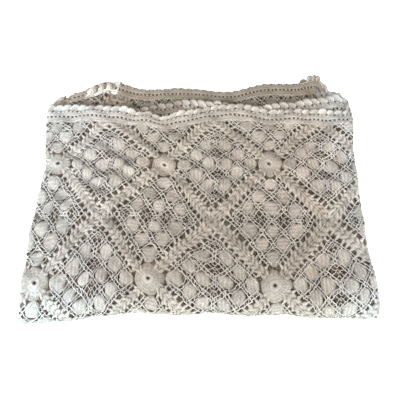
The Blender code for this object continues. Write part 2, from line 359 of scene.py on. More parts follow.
def only(piece):
    """Selects one object alone and makes it active."""
    bpy.ops.object.select_all(action="DESELECT")
    piece.select_set(True)
    bpy.context.view_layer.objects.active = piece


GROUND_DEPTH = -0.0012  # the ground of the cloth lies this far under its middle
GROUND_INSET = 0.02  # and ends this far inside the tips of the edging
# Columns: parts in each run, parts in each turn
GROUND_ACROSS_PARTS = ((34, 90, 34, 34), 10)
GROUND_ALONG_PARTS = ((100, 26, 26, 26), 12)
# The ground is real, but its dark browns are painted shade: the shadowed layers seen through the holes
HOLLOW_GRAIN = 260
HOLLOW_SHADE_TONES = ((0.38, (0.02, 0.014, 0.009)), (0.58, (0.13, 0.093, 0.06)))


def inset(places, total):
    """Distances over the spread squeezed to leave the inset at both ends."""
    return GROUND_INSET + places * (total - 2 * GROUND_INSET) / total


def colour_ramp(nodes, tones):
    """A colour ramp node with tones (place, colour), darkest first."""
    ramp = nodes.new("ShaderNodeValToRGB")
    elements = ramp.color_ramp.elements
    elements.remove(elements[1])
    for index, (place, colour) in enumerate(tones):
        element = elements[0] if index == 0 else elements.new(place)
        element.position = place
        element.color = (*colour, 1)
    return ramp


def grain(nodes, links, scale, detail):
    """The value of a noise that lies on the flat cloth."""
    place = nodes.new("ShaderNodeUVMap")
    noise = nodes.new("ShaderNodeTexNoise")
    set_inputs(noise, {"Scale": scale, "Detail": detail})
    links.new(place.outputs["UV"], noise.inputs["Vector"])
    return noise.outputs["Fac"]


ground_across = inset(marks(ACROSS, *GROUND_ACROSS_PARTS), FLAT_WIDTH)
ground_along = inset(marks(ALONG, *GROUND_ALONG_PARTS), FLAT_LENGTH)
bpy.ops.object.select_all(action="DESELECT")
bpy.ops.mesh.primitive_grid_add(
    x_subdivisions=len(ground_across) - 1, y_subdivisions=len(ground_along) - 1, size=2
)
ground = bpy.context.object
ground.name = "bedspread_ground"
even = points_of(ground.data)
column = np.rint((even[:, 0] + 1) / 2 * (len(ground_across) - 1)).astype(int)
row = np.rint((even[:, 1] + 1) / 2 * (len(ground_along) - 1)).astype(int)
flat = np.stack([ground_across[column], ground_along[row], np.full(len(even), GROUND_DEPTH)], axis=1)
move_points(ground.data, flat)
fold(ground)
only(ground)
bpy.ops.object.shade_smooth()

shaded = bpy.data.materials.new("shaded_cotton")
shaded.use_nodes = True
nodes, links = shaded.node_tree.nodes, shaded.node_tree.links
set_inputs(nodes["Principled BSDF"], {"Roughness": 0.95})
tones = colour_ramp(nodes, HOLLOW_SHADE_TONES)
links.new(grain(nodes, links, HOLLOW_GRAIN, 2), tones.inputs["Fac"])
links.new(tones.outputs["Color"], nodes["Principled BSDF"].inputs["Base Color"])
ground.data.materials.clear()
ground.data.materials.append(shaded)
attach(ground, "root")
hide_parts("bedspread_field")

# --- The worked square ---
# Each square is crocheted from its middle out: a rosette, four leafy bands to its
# corners, three rows of solid blocks in each quarter, and chains of loose thread that
# cross between the blocks and join square to square.

# Places are in squares, from the middle. An element's HIGH is its height in metres and
# its LIFT how far it stands out of the cloth, 0 to 1: at its foot, then what its forms add.
# The lift sets painted light and shade: light where it stands out, dark in hollows, creases and grooves.
BLOCK_ROWS = ((0.194, (0.0,)), (0.309, (-0.0975, 0.0975)), (0.416, (-0.195, 0.0, 0.195)))
BLOCK_REACH = 0.061  # half a block's length
BLOCK_SHIFT = 0.004  # its middle lies this much nearer the rosette
BLOCK_HALF = 0.06  # half its width, kept inside the chains beside it,
CHAIN_GAP = 0.083  # which are so far away at its middle
CHAIN_MEET = 0.094  # and meet so far out
BLOCK_HOLLOW = 0.006  # its outer end is hollowed so much
BLOCK_RIBS = 4
BLOCK_HIGH = (-0.0006, 0.0014, 0.00018)  # foot, puffed middle, ribs
BLOCK_LIFT = (0.46, 0.14, 0.08)
ARCH_FOOT = 0.032  # a chain arches over its outer end
ARCH_HALF = 0.046
ARCH_RISE = 0.042
ARCH_THICKNESS = 1.5  # in threads
ARCH_HIGH = (-0.0004, 0.0018)  # foot, roundness
ARCH_LIFT = (0.38, 0.36)
LEAF_COUNT = 11  # leaves at each side of a band
LEAF_START = 0.135  # the first one, out from the square's middle
LEAF_STEP = 0.053
LEAF_GROWTH = 0.035  # the share by which each is longer than the one before
LEAF_LEAN = math.radians(84)
LEAF_FOOT = 0.03  # from the band's middle line
LEAF_LENGTH = 0.052
LEAF_HALF = (0.0055, 0.019)  # half its width at its tip, and more at its foot
LEAF_HIGH = (-0.0006, 0.0019)  # foot, roundness
LEAF_LIFT = (0.22, 0.49)
STRIP_START = 0.085  # a band's strip, out from the square's middle
STRIP_LENGTH = 0.622
STRIP_HALF = (0.036, 0.052)  # half its width at the rosette and at the corner
STRIP_LINE = (0.17, 0.09)  # a groove's place and width, in half widths
STRIP_HIGH = (-0.0004, 0.002, -0.0006, -0.0011)  # foot, roundness, grooves, creases
STRIP_LIFT = (0.38, 0.3, -0.2, -0.34)
ROSETTE_HOLE = 0.003
ROSETTE_WIDTH = 0.117  # from the hole to the edge
ROSETTE_GROOVES = (0.4, 0.6, 0.82)  # in shares of that width
ROSETTE_HIGH = (-0.0006, 0.002, 0.0005, -0.0003, -0.0006, -0.0022)  # foot, disc, ring,
ROSETTE_LIFT = (0.34, 0.31, 0.03, -0.05, -0.13, -0.9)  # creases, grooves, hole
THREAD = 0.0032  # a chain's radius
THREAD_HIGH = 0.0015
THREAD_FLAT = 0.2  # it is pressed flat to this share
THREAD_LIFT = (0.72, 0.2)  # middle, roundness: painted light on top, painted shade on its flanks
WANDER = 0.0022  # how far a chain's stitches stray from its line
STITCH = 0.0215  # one stitch of a chain
PAIR = 0.018  # each of a pair of chains lies this far beside their line
RUNG = 0.7  # the stitches that tie a pair are this thin
LATTICE = (0.0975, 0.105)  # from a block's middle to where chains cross: sideways, outwards
LATTICE_START = 0.198  # how far out the chains beside the first row start
BAND_CHAIN = (0.034, 0.016)  # where the chains by a band start: sideways, and further out
BAND_SLOPE = 1.142  # how steeply they draw away from it
SQUARE_EDGE = 0.502  # chains end just past their square
NET_NODES = (-0.2925, -0.0975, 0.0975, 0.2925)
NET_STEPS = (0.036, 0.056, 0.076)
NET_TOP = 0.408
NET_LOWER = 0.0012
NET_THIN = 0.9
JOIN = (0.49, 0.05)  # the chains along the joining: how far out, and half their length
UNEVEN_HIGH = 0.00014  # each point's unevenness
UNEVEN_LIFT = 0.05
BLOCK_UNEVEN = 0.06  # each element's unevenness in size and angle,
LEAF_UNEVEN = 0.07
ROSETTE_UNEVEN = 0.05
UNEVEN_PLACE = 0.08  # and the shares of it in its place, tilt and tone
UNEVEN_TILT = 0.25
UNEVEN_TONE = 0.8
chance = np.random.default_rng(11)


def turned(points, angle):
    """Points turned about the square's middle."""
    cosine, sine = math.cos(angle), math.sin(angle)
    x, y = points[:, 0], points[:, 1]
    return np.stack([x * cosine - y * sine, x * sine + y * cosine, points[:, 2]], axis=1)


def parts_of(piece):
    """A piece's points and its faces as rows of four corners, and the piece removed."""
    mesh = piece.data
    points = points_of(mesh)
    faces = [tuple(face.vertices) for face in mesh.polygons]
    corners = np.array([face + (face[-1],) * (4 - len(face)) for face in faces])
    bpy.data.objects.remove(piece, do_unlink=True)
    return points, corners


def joined(parts):
    """Parts (points, corners, lift) as one."""
    counts = np.cumsum([0] + [len(part[0]) for part in parts[:-1]])
    return (
        np.concatenate([part[0] for part in parts]),
        np.concatenate([part[1] + count for part, count in zip(parts, counts)]),
        np.concatenate([part[2] for part in parts]),
    )


def built_up(amounts, *forms):
    """The amount at the foot, with each form times its own amount added."""
    return sum((amount * form for amount, form in zip(amounts[1:], forms)), amounts[0])


def domed(sideways, power=2):
    """1 along an element's middle, rounded down to nearly 0 at its edges."""
    return np.sqrt(1 - sideways ** power * 0.98)


def grid(parts_x, parts_y):
    """A flat grid's places from -1 to 1 both ways, and its corners."""
    bpy.ops.mesh.primitive_grid_add(x_subdivisions=parts_x, y_subdivisions=parts_y, size=2)
    points, corners = parts_of(bpy.context.object)
    return points[:, 0], points[:, 1], corners


def block():
    """One block, ribbed and puffed, narrower at both ends, under an arch of chain."""
    sideways, outwards, corners = grid(8, 12)
    aside, ahead = np.abs(sideways), np.abs(outwards)
    reached = outwards * BLOCK_REACH - BLOCK_SHIFT
    to_chains = CHAIN_GAP * (1 - np.abs(reached) / CHAIN_MEET)
    half_width = np.minimum(BLOCK_HALF, to_chains) * (1 - (ahead * 0.99) ** 16) ** 0.5
    puff = ((1 - aside ** 8) * (1 - ahead ** 10)) ** 0.35
    rib = np.cos(outwards * math.pi * BLOCK_RIBS) * (1 - np.maximum(aside, ahead) ** 6)
    hollow = BLOCK_HOLLOW * np.clip(outwards, 0, 1) ** 3 * (1 - sideways ** 2)
    laid = np.stack([sideways * half_width, reached - hollow, built_up(BLOCK_HIGH, puff, rib)], axis=1)
    body = (laid, corners, built_up(BLOCK_LIFT, puff, rib))

    along_arch, sideways, corners = grid(10, 4)
    angle = (along_arch + 1) * math.pi / 2
    wide, dome = sideways * THREAD * ARCH_THICKNESS, domed(sideways)
    arch_x = (ARCH_HALF + wide) * np.cos(angle)
    arch_y = ARCH_FOOT + (ARCH_RISE + wide) * np.sin(angle)
    laid = np.stack([arch_x, arch_y, built_up(ARCH_HIGH, dome)], axis=1)
    return joined([body, (laid, corners, built_up(ARCH_LIFT, dome))])


def leaf():
    """One leaf at a band's side: broad at the strip, drawn out to the chain beside."""
    along_leaf, sideways, corners = grid(6, 6)
    out = (along_leaf + 1) / 2
    width = built_up(LEAF_HALF, 1 - np.clip(out / 0.8, 0, 1) ** 0.7)
    dome = domed(sideways)
    high = built_up(LEAF_HIGH, dome * (1 - 0.35 * out ** 2))
    laid = np.stack([LEAF_FOOT + LEAF_LENGTH * out, sideways * width, high], axis=1)
    return laid, corners, built_up(LEAF_LIFT, dome)


def strip():
    """The middle of a band: a strip of close stitches from rosette to corner."""
    along_strip, sideways, corners = grid(88, 12)
    share, aside = (along_strip + 1) / 2, np.abs(sideways)
    reached = STRIP_START + share * STRIP_LENGTH
    phase = math.pi * (reached - LEAF_START) / LEAF_STEP
    line = np.exp(-((aside - STRIP_LINE[0]) / STRIP_LINE[1]) ** 2)
    crease = np.abs(np.sin(phase - 1.9 * aside)) ** 8 * (aside > 0.1)
    forms = (domed(sideways, 6), line, crease)
    half_width = np.interp(share, (0, 1), STRIP_HALF) * (1 + 0.1 * np.cos(2 * phase - 3.8))
    half_width = np.minimum(half_width, math.sqrt(0.5) - reached + 0.003)
    laid = np.stack([reached, sideways * half_width, built_up(STRIP_HIGH, *forms)], axis=1)
    return turned(laid, math.pi / 4), corners, built_up(STRIP_LIFT, *forms)


def rosette():
    """The middle: a ring round a small hole, grooved rounds and radial stitches."""
    around, outwards, corners = grid(64, 14)
    angle, out = (around + 1) * math.pi, (outwards + 1) / 2
    radius = (ROSETTE_HOLE + ROSETTE_WIDTH * out) * (1 + 0.06 * out * np.cos(4 * angle))
    ring = np.exp(-((out - 0.25) / 0.1) ** 2)
    spread = np.clip((out - 0.4) / 0.12, 0, 1)
    crease = np.abs(np.cos(8 * angle)) ** 8 * spread * (1 - np.clip((out - 0.86) / 0.1, 0, 1))
    groove = sum(np.exp(-((out - place) / 0.045) ** 2) for place in ROSETTE_GROOVES)
    disc = np.sqrt(np.clip(1 - out ** 5, 0, 1))
    hole = np.clip((0.1 - out) / 0.06, 0, 1)
    forms = (disc, ring, crease, groove, hole)
    high = built_up(ROSETTE_HIGH, *forms)
    laid = np.stack([radius * np.cos(angle), radius * np.sin(angle), high], axis=1)
    return laid, corners, built_up(ROSETTE_LIFT, *forms)


def thread_line(start, end):
    """Points and widths of one chain between two places, thick and thin in each stitch."""
    start, end = np.array(start), np.array(end)
    count = 2 * max(1, round(np.linalg.norm(end - start) / STITCH)) + 1
    share = np.linspace(0, 1, count)[:, None]
    places = np.concatenate([start + (end - start) * share, np.zeros((count, 1))], axis=1)
    places[1:-1, :2] += chance.normal(0, WANDER, (count - 2, 2))
    return places, np.where(np.arange(count) % 2, 1.2, 0.8)


def quarter_chains():
    """The chains of one quarter: pairs that cross between the blocks, and the joining."""
    side, out = LATTICE
    slope = out / side
    aside, further = BAND_CHAIN
    lines = []
    for mirror in (1, -1):
        for index in range(4):
            low_x, low_y = -side * index, LATTICE_START + out * (index - 1)
            if index == 0:
                low_x, low_y = aside, LATTICE_START - (side - aside) * slope + further
            high_x = low_x + (SQUARE_EDGE - low_y) / (slope if index else BAND_SLOPE)
            pair = [
                thread_line((mirror * (low_x + offset), low_y), (mirror * (high_x + offset), SQUARE_EDGE))
                for offset in (-PAIR, PAIR)
            ]
            lines += pair
            for first, second in zip(pair[0][0][2:-1:4], pair[1][0][2:-1:4]):
                lines.append((np.stack([first, second]), np.array([RUNG, RUNG])))
        for node in NET_NODES:
            for step in NET_STEPS:
                foot_x, foot_y = node - mirror * step, NET_TOP + slope * step
                edge_x = foot_x + mirror * (SQUARE_EDGE - foot_y) / slope
                places, widths = thread_line((foot_x, foot_y), (edge_x, SQUARE_EDGE))
                lines.append((places - (0, 0, NET_LOWER), NET_THIN * widths))
    join_out, join_half = JOIN
    for place in BLOCK_ROWS[2][1]:
        lines.append(thread_line((place - join_half, join_out), (place + join_half, join_out)))
    return lines


def chains():
    """All the chains of a square."""
    curve = bpy.data.curves.new("chains", "CURVE")
    curve.dimensions = "3D"
    curve.bevel_depth = THREAD
    curve.bevel_resolution = 0
    for quarter in range(4):
        for places, widths in quarter_chains():
            places = turned(places, quarter * math.pi / 2)
            weights = np.ones((len(places), 1))
            spline = curve.splines.new("POLY")
            spline.points.add(len(places) - 1)
            spline.points.foreach_set("co", np.concatenate([places, weights], axis=1).ravel())
            spline.points.foreach_set("radius", widths)
    piece = bpy.data.objects.new("chains", curve)
    bpy.context.scene.collection.objects.link(piece)
    only(piece)
    bpy.ops.object.convert(target="MESH")
    points, corners = parts_of(bpy.context.object)
    lift = built_up(THREAD_LIFT, points[:, 2] / THREAD)
    points[:, 2] = THREAD_HIGH + points[:, 2] * THREAD_FLAT
    return points, corners, lift


CHAINS, BLOCK, LEAF, STRIP, ROSETTE = chains(), block(), leaf(), strip(), rosette()


def varied(element, place, angle, amount):
    """An element at its place in the square, a little uneven as handwork is."""
    points, corners, lift = element
    sizes = 1 + amount * chance.uniform(-1, 1, 3)
    shift = amount * UNEVEN_PLACE * chance.uniform(-1, 1, 2)
    tilt = UNEVEN_TILT * amount * chance.uniform(-1, 1, 2)
    points = turned(points * sizes, amount * chance.uniform(-1, 1))
    points[:, 2] += points[:, :2] @ tilt
    points[:, :2] += np.array(place) + shift
    points[:, 2] += chance.normal(0, UNEVEN_HIGH, len(points))
    mottled = lift + UNEVEN_TONE * amount * chance.uniform(-1, 1)
    return turned(points, angle), corners, mottled + chance.normal(0, UNEVEN_LIFT, len(points))


def worked_square():
    """One square."""
    parts = [(CHAINS[0], CHAINS[1], CHAINS[2] + chance.normal(0, UNEVEN_LIFT, len(CHAINS[2])))]
    for quarter in range(4):
        angle = quarter * math.pi / 2
        for out, places in BLOCK_ROWS:
            parts += [varied(BLOCK, (place, out), angle, BLOCK_UNEVEN) for place in places]
        for index in range(LEAF_COUNT):
            along_band = (LEAF_START + index * LEAF_STEP) / math.sqrt(2)
            place = (along_band, along_band)
            longer = np.array([1 + LEAF_GROWTH * index, 1, 1])
            for side in (-1, 1):
                points, corners, lift = LEAF
                leaning = turned(points * longer, math.radians(45) + side * LEAF_LEAN)
                parts.append(varied((leaning, corners, lift), place, angle, LEAF_UNEVEN))
        parts.append(varied(STRIP, (0, 0), angle, 0.0))
    parts.append(varied(ROSETTE, (0, 0), 0.0, ROSETTE_UNEVEN))
    return joined(parts)


# --- The squares of the top and the near fold ---
# The squares are joined edge to edge. Those on the top and round the last fold
# are worked in full. The cloth has pulled a little out of line in places.

COLUMN_START = -0.274  # the middles of the first column and row of squares
ROW_START = 0.0204
COLUMN_PITCH = 0.2005
ROW_PITCH = 0.2175
FIRST_ROW_PITCH = 0.199  # beyond the first row
NEAR_STRETCH = 1.25  # the squares are stretched round the near fold
FITTING_ROUNDS = 5  # for the places that the hem's unevenness shifts
PULL_SPREAD = 0.13  # how wide a pull is, and how much the pulls are evened out
PULL_EVEN = 0.12
# Columns: column and row of a place, metres that it is pulled to the right and away
PULLED = (
    (0.0, 0.0, 0.0056, -0.0006), (1.0, 0.0, 0.0079, 0.0), (2.0, 0.0, 0.0055, 0.0),
    (0.5, 0.5, -0.001, 0.009), (1.5, 0.5, 0.0012, -0.0062), (2.5, 0.5, 0.0068, -0.0062),
    (0.0, 1.0, 0.0011, 0.0), (1.0, 1.0, -0.0099, -0.0009), (2.0, 1.0, 0.0, -0.0141),
)
# Columns: metres, radians for each column and each row, radians at the start
WAVES_RIGHT = ((0.002, 5.1, 7.3, 0), (0.0017, 14.0, -11.0, 1))
WAVES_AWAY = ((0.002, 7.9, -4.7, 2), (0.0017, 11.0, 14.0, 0))
WAVER = 0.0009  # finer than the waves, in both directions
# How far the squares reach past the left fold, onto the right one, past the near and
# far folds, and under the edging
PAST_LEFT = 0.006
ONTO_RIGHT = 0.01
PAST_FOLD = 0.012
UNDER_EDGING = 0.002
side_turn = math.pi * 1.5 * LAYER_PITCH
left_turn_end = distance_at(ACROSS, 1, 0)
right_turn_start = distance_at(ACROSS, 1, 1)
near_turn_start = distance_at(ALONG, 0, 1)
near_turn_end = distance_at(ALONG, 1, 0)


def wavy(waves, columns, rows):
    """Waves over the squares, added up."""
    return sum(size * np.sin(by_column * columns + by_row * rows + start)
               for size, by_column, by_row, start in waves)


def pulled(columns, rows):
    """How far the cloth is pulled out of line at places in squares."""
    weight_sum = PULL_EVEN
    right = away = 0.0
    for column, row, metres_right, metres_away in PULLED:
        weight = np.exp(-((columns - column) ** 2 + (rows - row) ** 2) / PULL_SPREAD)
        weight_sum = weight_sum + weight
        right = right + weight * metres_right
        away = away + weight * metres_away
    fine_right = WAVER * np.sin(31 * columns + 24 * rows + 2 * np.sin(9 * rows))
    fine_away = WAVER * np.sin(27 * columns - 33 * rows + 2 * np.sin(8 * columns))
    return (
        right / weight_sum + (wavy(WAVES_RIGHT, columns, rows) + fine_right),
        away / weight_sum + (wavy(WAVES_AWAY, columns, rows) + fine_away),
    )


def laid_on_top(columns, rows):
    """The flat places, across and along, of places in squares on the pile's top."""
    right, away = pulled(columns, rows)
    x = COLUMN_START + COLUMN_PITCH * columns + right
    y = ROW_START - np.where(rows > 0, ROW_PITCH, FIRST_ROW_PITCH) * rows + away
    across = left_turn_end + (x - LEFT_CENTRE)
    target = UPPER_HEM - y
    past = np.clip(target - near_turn_start, 0, None)
    target = target - past + past / NEAR_STRETCH
    along = target
    for _ in range(FITTING_ROUNDS):
        along = target + eased(UPPER_HEM_CURVE, across) * fading(along, HEM_REACH)
    return across, along


def make_piece(name, points, corners, lift, material):
    """A smooth mesh object, folded, from flat points and rows of four corners."""
    faces = [tuple(dict.fromkeys(face)) for face in corners.tolist()]
    mesh = bpy.data.meshes.new(name)
    mesh.from_pydata(points.tolist(), [], faces)
    mesh.attributes.new("lift", "FLOAT", "POINT").data.foreach_set("value", lift.astype(np.float32))
    mesh.materials.append(material)
    piece = bpy.data.objects.new(name, mesh)
    bpy.context.scene.collection.objects.link(piece)
    fold(piece)
    only(piece)
    bpy.ops.object.shade_smooth()
    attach(piece, "root")
    return piece


def worked_squares(name, columns, rows, lay, showing, material):
    """Squares as one mesh: laid flat, cut to what shows, and folded."""
    parts = []
    for row_index in rows:
        for column_index in columns:
            points, corners, lift = worked_square()
            across, along = lay(points[:, 0] + column_index, row_index - points[:, 1])
            flat = np.stack([across, along, points[:, 2]], axis=1)
            middles = flat[corners].mean(axis=1)
            kept = corners[showing(middles[:, 0], middles[:, 1])]
            if len(kept):
                used, renumbered = np.unique(kept, return_inverse=True)
                parts.append((flat[used], renumbered.reshape(kept.shape), lift[used]))
    return make_piece(name, *joined(parts), material)


def on_top(across, along):
    """Whether a flat place is on the top or round the near fold."""
    return (
        (across > left_turn_end - side_turn - PAST_LEFT) & (across < right_turn_start + ONTO_RIGHT)
        & (along > EDGING_WIDTH - UNDER_EDGING) & (along < near_turn_end + PAST_FOLD)
    )


# Painted light and shade: the cotton is tinted cooler and greyer at the left, at the right and
# along the near fold, where cool light falls, and painted darker in the middle as shade.
# Columns: axis, and its tints by place
PAINTED_LIGHT_TINTS = (
    ("X", (
        (-0.29, (0.88, 0.93, 0.98)), (-0.2, (0.91, 0.92, 0.95)), (-0.1, (0.89, 0.84, 0.81)),
        (0.21, (0.89, 0.84, 0.81)), (0.28, (0.9, 0.94, 0.99)),
    )),
    ("Y", (
        (-0.248, (0.85, 0.96, 1.0)), (-0.22, (0.78, 0.83, 0.87)), (-0.18, (0.69,) * 3),
        (-0.1, (0.67,) * 3), (-0.02, (0.77,) * 3), (0.08, (0.81,) * 3), (0.13, (0.88,) * 3),
    )),
)
# Columns: lift, its colour; the dark brown tones are painted shade in the hollows
TONES = (
    (0.0, (0.045, 0.032, 0.02)), (0.15, (0.15, 0.112, 0.075)), (0.4, (0.31, 0.265, 0.21)),
    (0.62, (0.48, 0.43, 0.365)), (0.84, (0.688, 0.644, 0.576)),
)
LIGHTEST = (0.84, 0.8, 0.73)
STRAND_GRAIN = 620  # how fine the strands' unevenness is,
STRAND_SHARE = 0.9  # how much it counts in the tone, and what evens that out
STRAND_MIDDLE = 0.465
STRAND_HIGH = 0.001


def calculated(nodes, links, operation, source, amount):
    """A value with an amount added, taken away or multiplied."""
    node = nodes.new("ShaderNodeMath")
    node.operation = operation
    node.inputs[1].default_value = amount
    links.new(source, node.inputs[0])
    return node


def cotton(name, shade=1.0, painted_light_tints=PAINTED_LIGHT_TINTS, lightest=LIGHTEST):
    """Crocheted cotton with painted light and shade: light where it stands out, painted brown shade in its
    hollows.
    """
    material = bpy.data.materials.new(name)
    material.use_nodes = True
    nodes, links = material.node_tree.nodes, material.node_tree.links
    shader = nodes["Principled BSDF"]
    set_inputs(shader, {"Roughness": 0.92, "Specular IOR Level": 0.2})
    lift = nodes.new("ShaderNodeAttribute")
    lift.attribute_name = "lift"
    strands = grain(nodes, links, STRAND_GRAIN, 3)
    lowered = calculated(nodes, links, "SUBTRACT", lift.outputs["Fac"], STRAND_MIDDLE)
    uneven = calculated(nodes, links, "MULTIPLY_ADD", strands, STRAND_SHARE)
    links.new(lowered.outputs["Value"], uneven.inputs[2])
    tones = [(step, tuple(shade * part for part in colour)) for step, colour in TONES]
    ramp = colour_ramp(nodes, tones + [(1.0, lightest)])
    links.new(uneven.outputs["Value"], ramp.inputs["Fac"])
    where = nodes.new("ShaderNodeTexCoord")
    axes = nodes.new("ShaderNodeSeparateXYZ")
    links.new(where.outputs["Object"], axes.inputs["Vector"])
    tinted = ramp.outputs["Color"]
    for axis, tints in painted_light_tints:
        shift = calculated(nodes, links, "ADD", axes.outputs[axis], 0.5)
        tint = colour_ramp(nodes, [(0.5 + metres, colour) for metres, colour in tints])
        links.new(shift.outputs["Value"], tint.inputs["Fac"])
        mixed = nodes.new("ShaderNodeMix")
        mixed.data_type = "RGBA"
        mixed.blend_type = "MULTIPLY"
        mixed.inputs[0].default_value = 1.0
        links.new(tinted, mixed.inputs[6])
        links.new(tint.outputs["Color"], mixed.inputs[7])
        tinted = mixed.outputs[2]
    links.new(tinted, shader.inputs["Base Color"])
    bump = nodes.new("ShaderNodeBump")
    set_inputs(bump, {"Strength": 0.5, "Distance": STRAND_HIGH})
    links.new(strands, bump.inputs["Height"])
    links.new(bump.outputs["Normal"], shader.inputs["Normal"])
    return material


top_cotton = cotton("top_cotton")
top_squares = worked_squares("top_squares", range(4), (0,), laid_on_top, on_top, top_cotton)
near_squares = worked_squares("near_squares", range(4), (1, 2), laid_on_top, on_top, top_cotton)

# --- The squares of the sides, the far fold and the back ---
# Elsewhere the cloth shows only in strips: round the folds of the two sides, round
# the far fold, and past the upper hems, where the last layer reaches further.

SIDE_PITCH_ACROSS = (FLAT_WIDTH - 2 * EDGING_WIDTH) / 11
SIDE_PITCH_ALONG = (FLAT_LENGTH - 2 * EDGING_WIDTH) / 8
far_turn_start = distance_at(ALONG, 1, 1)
far_turn_end = distance_at(ALONG, 2, 0)
SHORT_OF_RIGHT = 0.007  # the right side's squares start so far before its fold
RIGHT_REACH = 0.013  # and go on so far, or further in the last stretch before the hem
LAST_RIGHT_REACH = 0.036
LAST_STRETCH = 0.15
BACK_REACH = 0.14  # how much shows past the upper hems
# Painted shade: the under layers, the back and the far hem are darker, as they lie lower in the pile's
# shadow
UNDER_SHADE = 0.53
UNDER_PAINTED_SHADE_TINT = (("X", ((0.0, (1.0, 0.91, 0.81)),)),)  # painted shade, browner everywhere
# The lightest tone is left out of the painted shade, so the folded-over flap shows painted light
UNDER_LIGHTEST = (0.76, 0.8, 0.84)


def laid_evenly(columns, rows):
    """The flat places of places in squares, counted from the spread's first corner."""
    return (
        EDGING_WIDTH + SIDE_PITCH_ACROSS * (columns + 0.5),
        EDGING_WIDTH + SIDE_PITCH_ALONG * (rows + 0.5),
    )


def on_sides(across, along):
    """Whether a flat place is round the left or right folds."""
    on_left = np.abs(across - (left_turn_end - side_turn / 2)) < side_turn / 2 + PAST_LEFT
    reach = np.where(along > FLAT_LENGTH - LAST_STRETCH, LAST_RIGHT_REACH, RIGHT_REACH)
    on_right = (across > right_turn_start - SHORT_OF_RIGHT) & (across < right_turn_start + reach)
    return (on_left | on_right) & (along > near_turn_end + PAST_FOLD) & (along < FLAT_LENGTH - EDGING_WIDTH)


def on_back(across, along):
    """Whether a flat place is round the far fold, or past the upper hems."""
    round_fold = (along > far_turn_start - PAST_FOLD) & (along < far_turn_end + PAST_FOLD)
    past_hems = (along > FLAT_LENGTH - BACK_REACH) & (along < FLAT_LENGTH - EDGING_WIDTH + UNDER_EDGING)
    return (round_fold & (across > left_turn_end) & (across < right_turn_start)) | (
        past_hems & (across > EDGING_WIDTH) & (across < left_turn_end - side_turn - PAST_LEFT)
    )


side_cotton = cotton("side_cotton")
under_cotton = cotton("under_cotton", UNDER_SHADE, UNDER_PAINTED_SHADE_TINT, UNDER_LIGHTEST)
side_squares = worked_squares("side_squares", (2, 5), range(8), laid_evenly, on_sides, side_cotton)
back_squares = worked_squares("back_squares", range(6), (4, 5, 7), laid_evenly, on_back, under_cotton)

# --- The scalloped edging ---
# A border is worked round the spread: a band of close rows, a ladder of open
# loops, a plain rib, a row of slanted loops and a row of shells.

UPPER_SIDE, LAST_SIDE, LOWER_SIDE, FIRST_SIDE = range(4)
MODULE = 0.016  # one shell
# Columns: metres out from the squares, metres high
BAND_SECTION = (
    (-0.004, -0.0004), (-0.003, 0.0012), (-0.001, 0.0017), (0.001, 0.001), (0.003, 0.0018),
    (0.005, 0.0011), (0.0068, 0.0017), (0.0078, 0.0002), (0.0078, -0.0006), (-0.004, -0.0008),
)
RIB_SECTION = (
    (0.0108, 0.0001), (0.0116, 0.0014), (0.0134, 0.0018), (0.015, 0.0012), (0.0168, 0.0018),
    (0.0186, 0.0013), (0.0192, 0.0001), (0.0192, -0.0006), (0.0108, -0.0006),
)
RIBBON_LIFT = (0.28, 0.48)  # painted shade in its hollows, and painted light on top of its ribs
RIBBON_TOP = 0.0018
FOOT_WAVER = 0.0011  # the band's foot is worked a little unevenly onto the squares
HIGH_WAVER = 0.0002
# Columns: metres out from and to, lean and half width in modules, metres high
BARS = (
    (0.0072, 0.0114, 0.0, 0.13, 0.001),
    (0.0186, 0.0214, 0.08, 0.17, 0.0013),
)
BAR_PLACES = (0.25, 0.75)
# painted light on a stitch's upper faces
BAR_LIFT = (0.45, 0.35)
SHELL_START = 0.0204
SHELL_LENGTH = EDGING_WIDTH - SHELL_START
SHELL_HALF = 0.62
SHELL_STITCHES = 5
SHELL_HIGH = (0.0003, 0.0018, 0.0008)  # foot, roundness, ridges
SHELL_LIFT = (0.5, 0.55, 0.3, -0.22)  # foot, roundness, ridges, and painted shade on the side lying under
SHELL_UNEVEN = 0.08
SHELL_LEAN = 0.3
SHELL_LEAN_UNEVEN = 0.1
SHELL_TILT = 0.0008  # metres that a shell's tip lifts at most
DRAWN_IN = 0.0042  # the shells round the lower hem's last corner are drawn in so far,
DRAWN_IN_MODULES = 1.5  # from so many modules before it
CORNER_MODULES = 4
SQUARER = 0.2  # how far a corner's tip stands out past a round one
FIELD_CORNERS = (
    (EDGING_WIDTH, EDGING_WIDTH), (FLAT_WIDTH - EDGING_WIDTH, EDGING_WIDTH),
    (FLAT_WIDTH - EDGING_WIDTH, FLAT_LENGTH - EDGING_WIDTH), (EDGING_WIDTH, FLAT_LENGTH - EDGING_WIDTH),
)
# Columns: place across on the lower hem, degrees that its edging is bent up (past 90,
# folded over) or down, metres from its foot to the bend
CURL = (
    (0.037, -5, 0.02), (0.054, -5, 0.02), (0.066, -70, 0.0195), (0.456, -85, 0.0195),
    (0.457, 168, 0.022), (0.474, 168, 0.015), (0.518, 168, 0.014), (0.519, -70, 0.0195),
    (0.555, -70, 0.0195),
)
CURL_END = 0.57  # the edging lies flat past this
CORNER_DROOP = 70  # degrees more, down, round the corner
# The first side's edging hangs down by that corner: metres along it, metres to the bend
SIDE_DROOP = -85.0
SIDE_BEND = ((0.05, 0.12), (0.0195, 0.037))
TURNED_HEM = (0.457, 0.518)  # the part that is folded over is painted lighter, as it lies in the light
TURNED_LIFT = 0.34
SHADED_HEM = (distance_at(ACROSS, 2, 0.556), distance_at(ACROSS, 2, 0.74))
SHADED_LIFT = -0.3  # and the middle hem is painted darker, as shade in the upper hem's hollow
CURL_RADIUS = 0.0022
EDGING_SHADE = 0.9


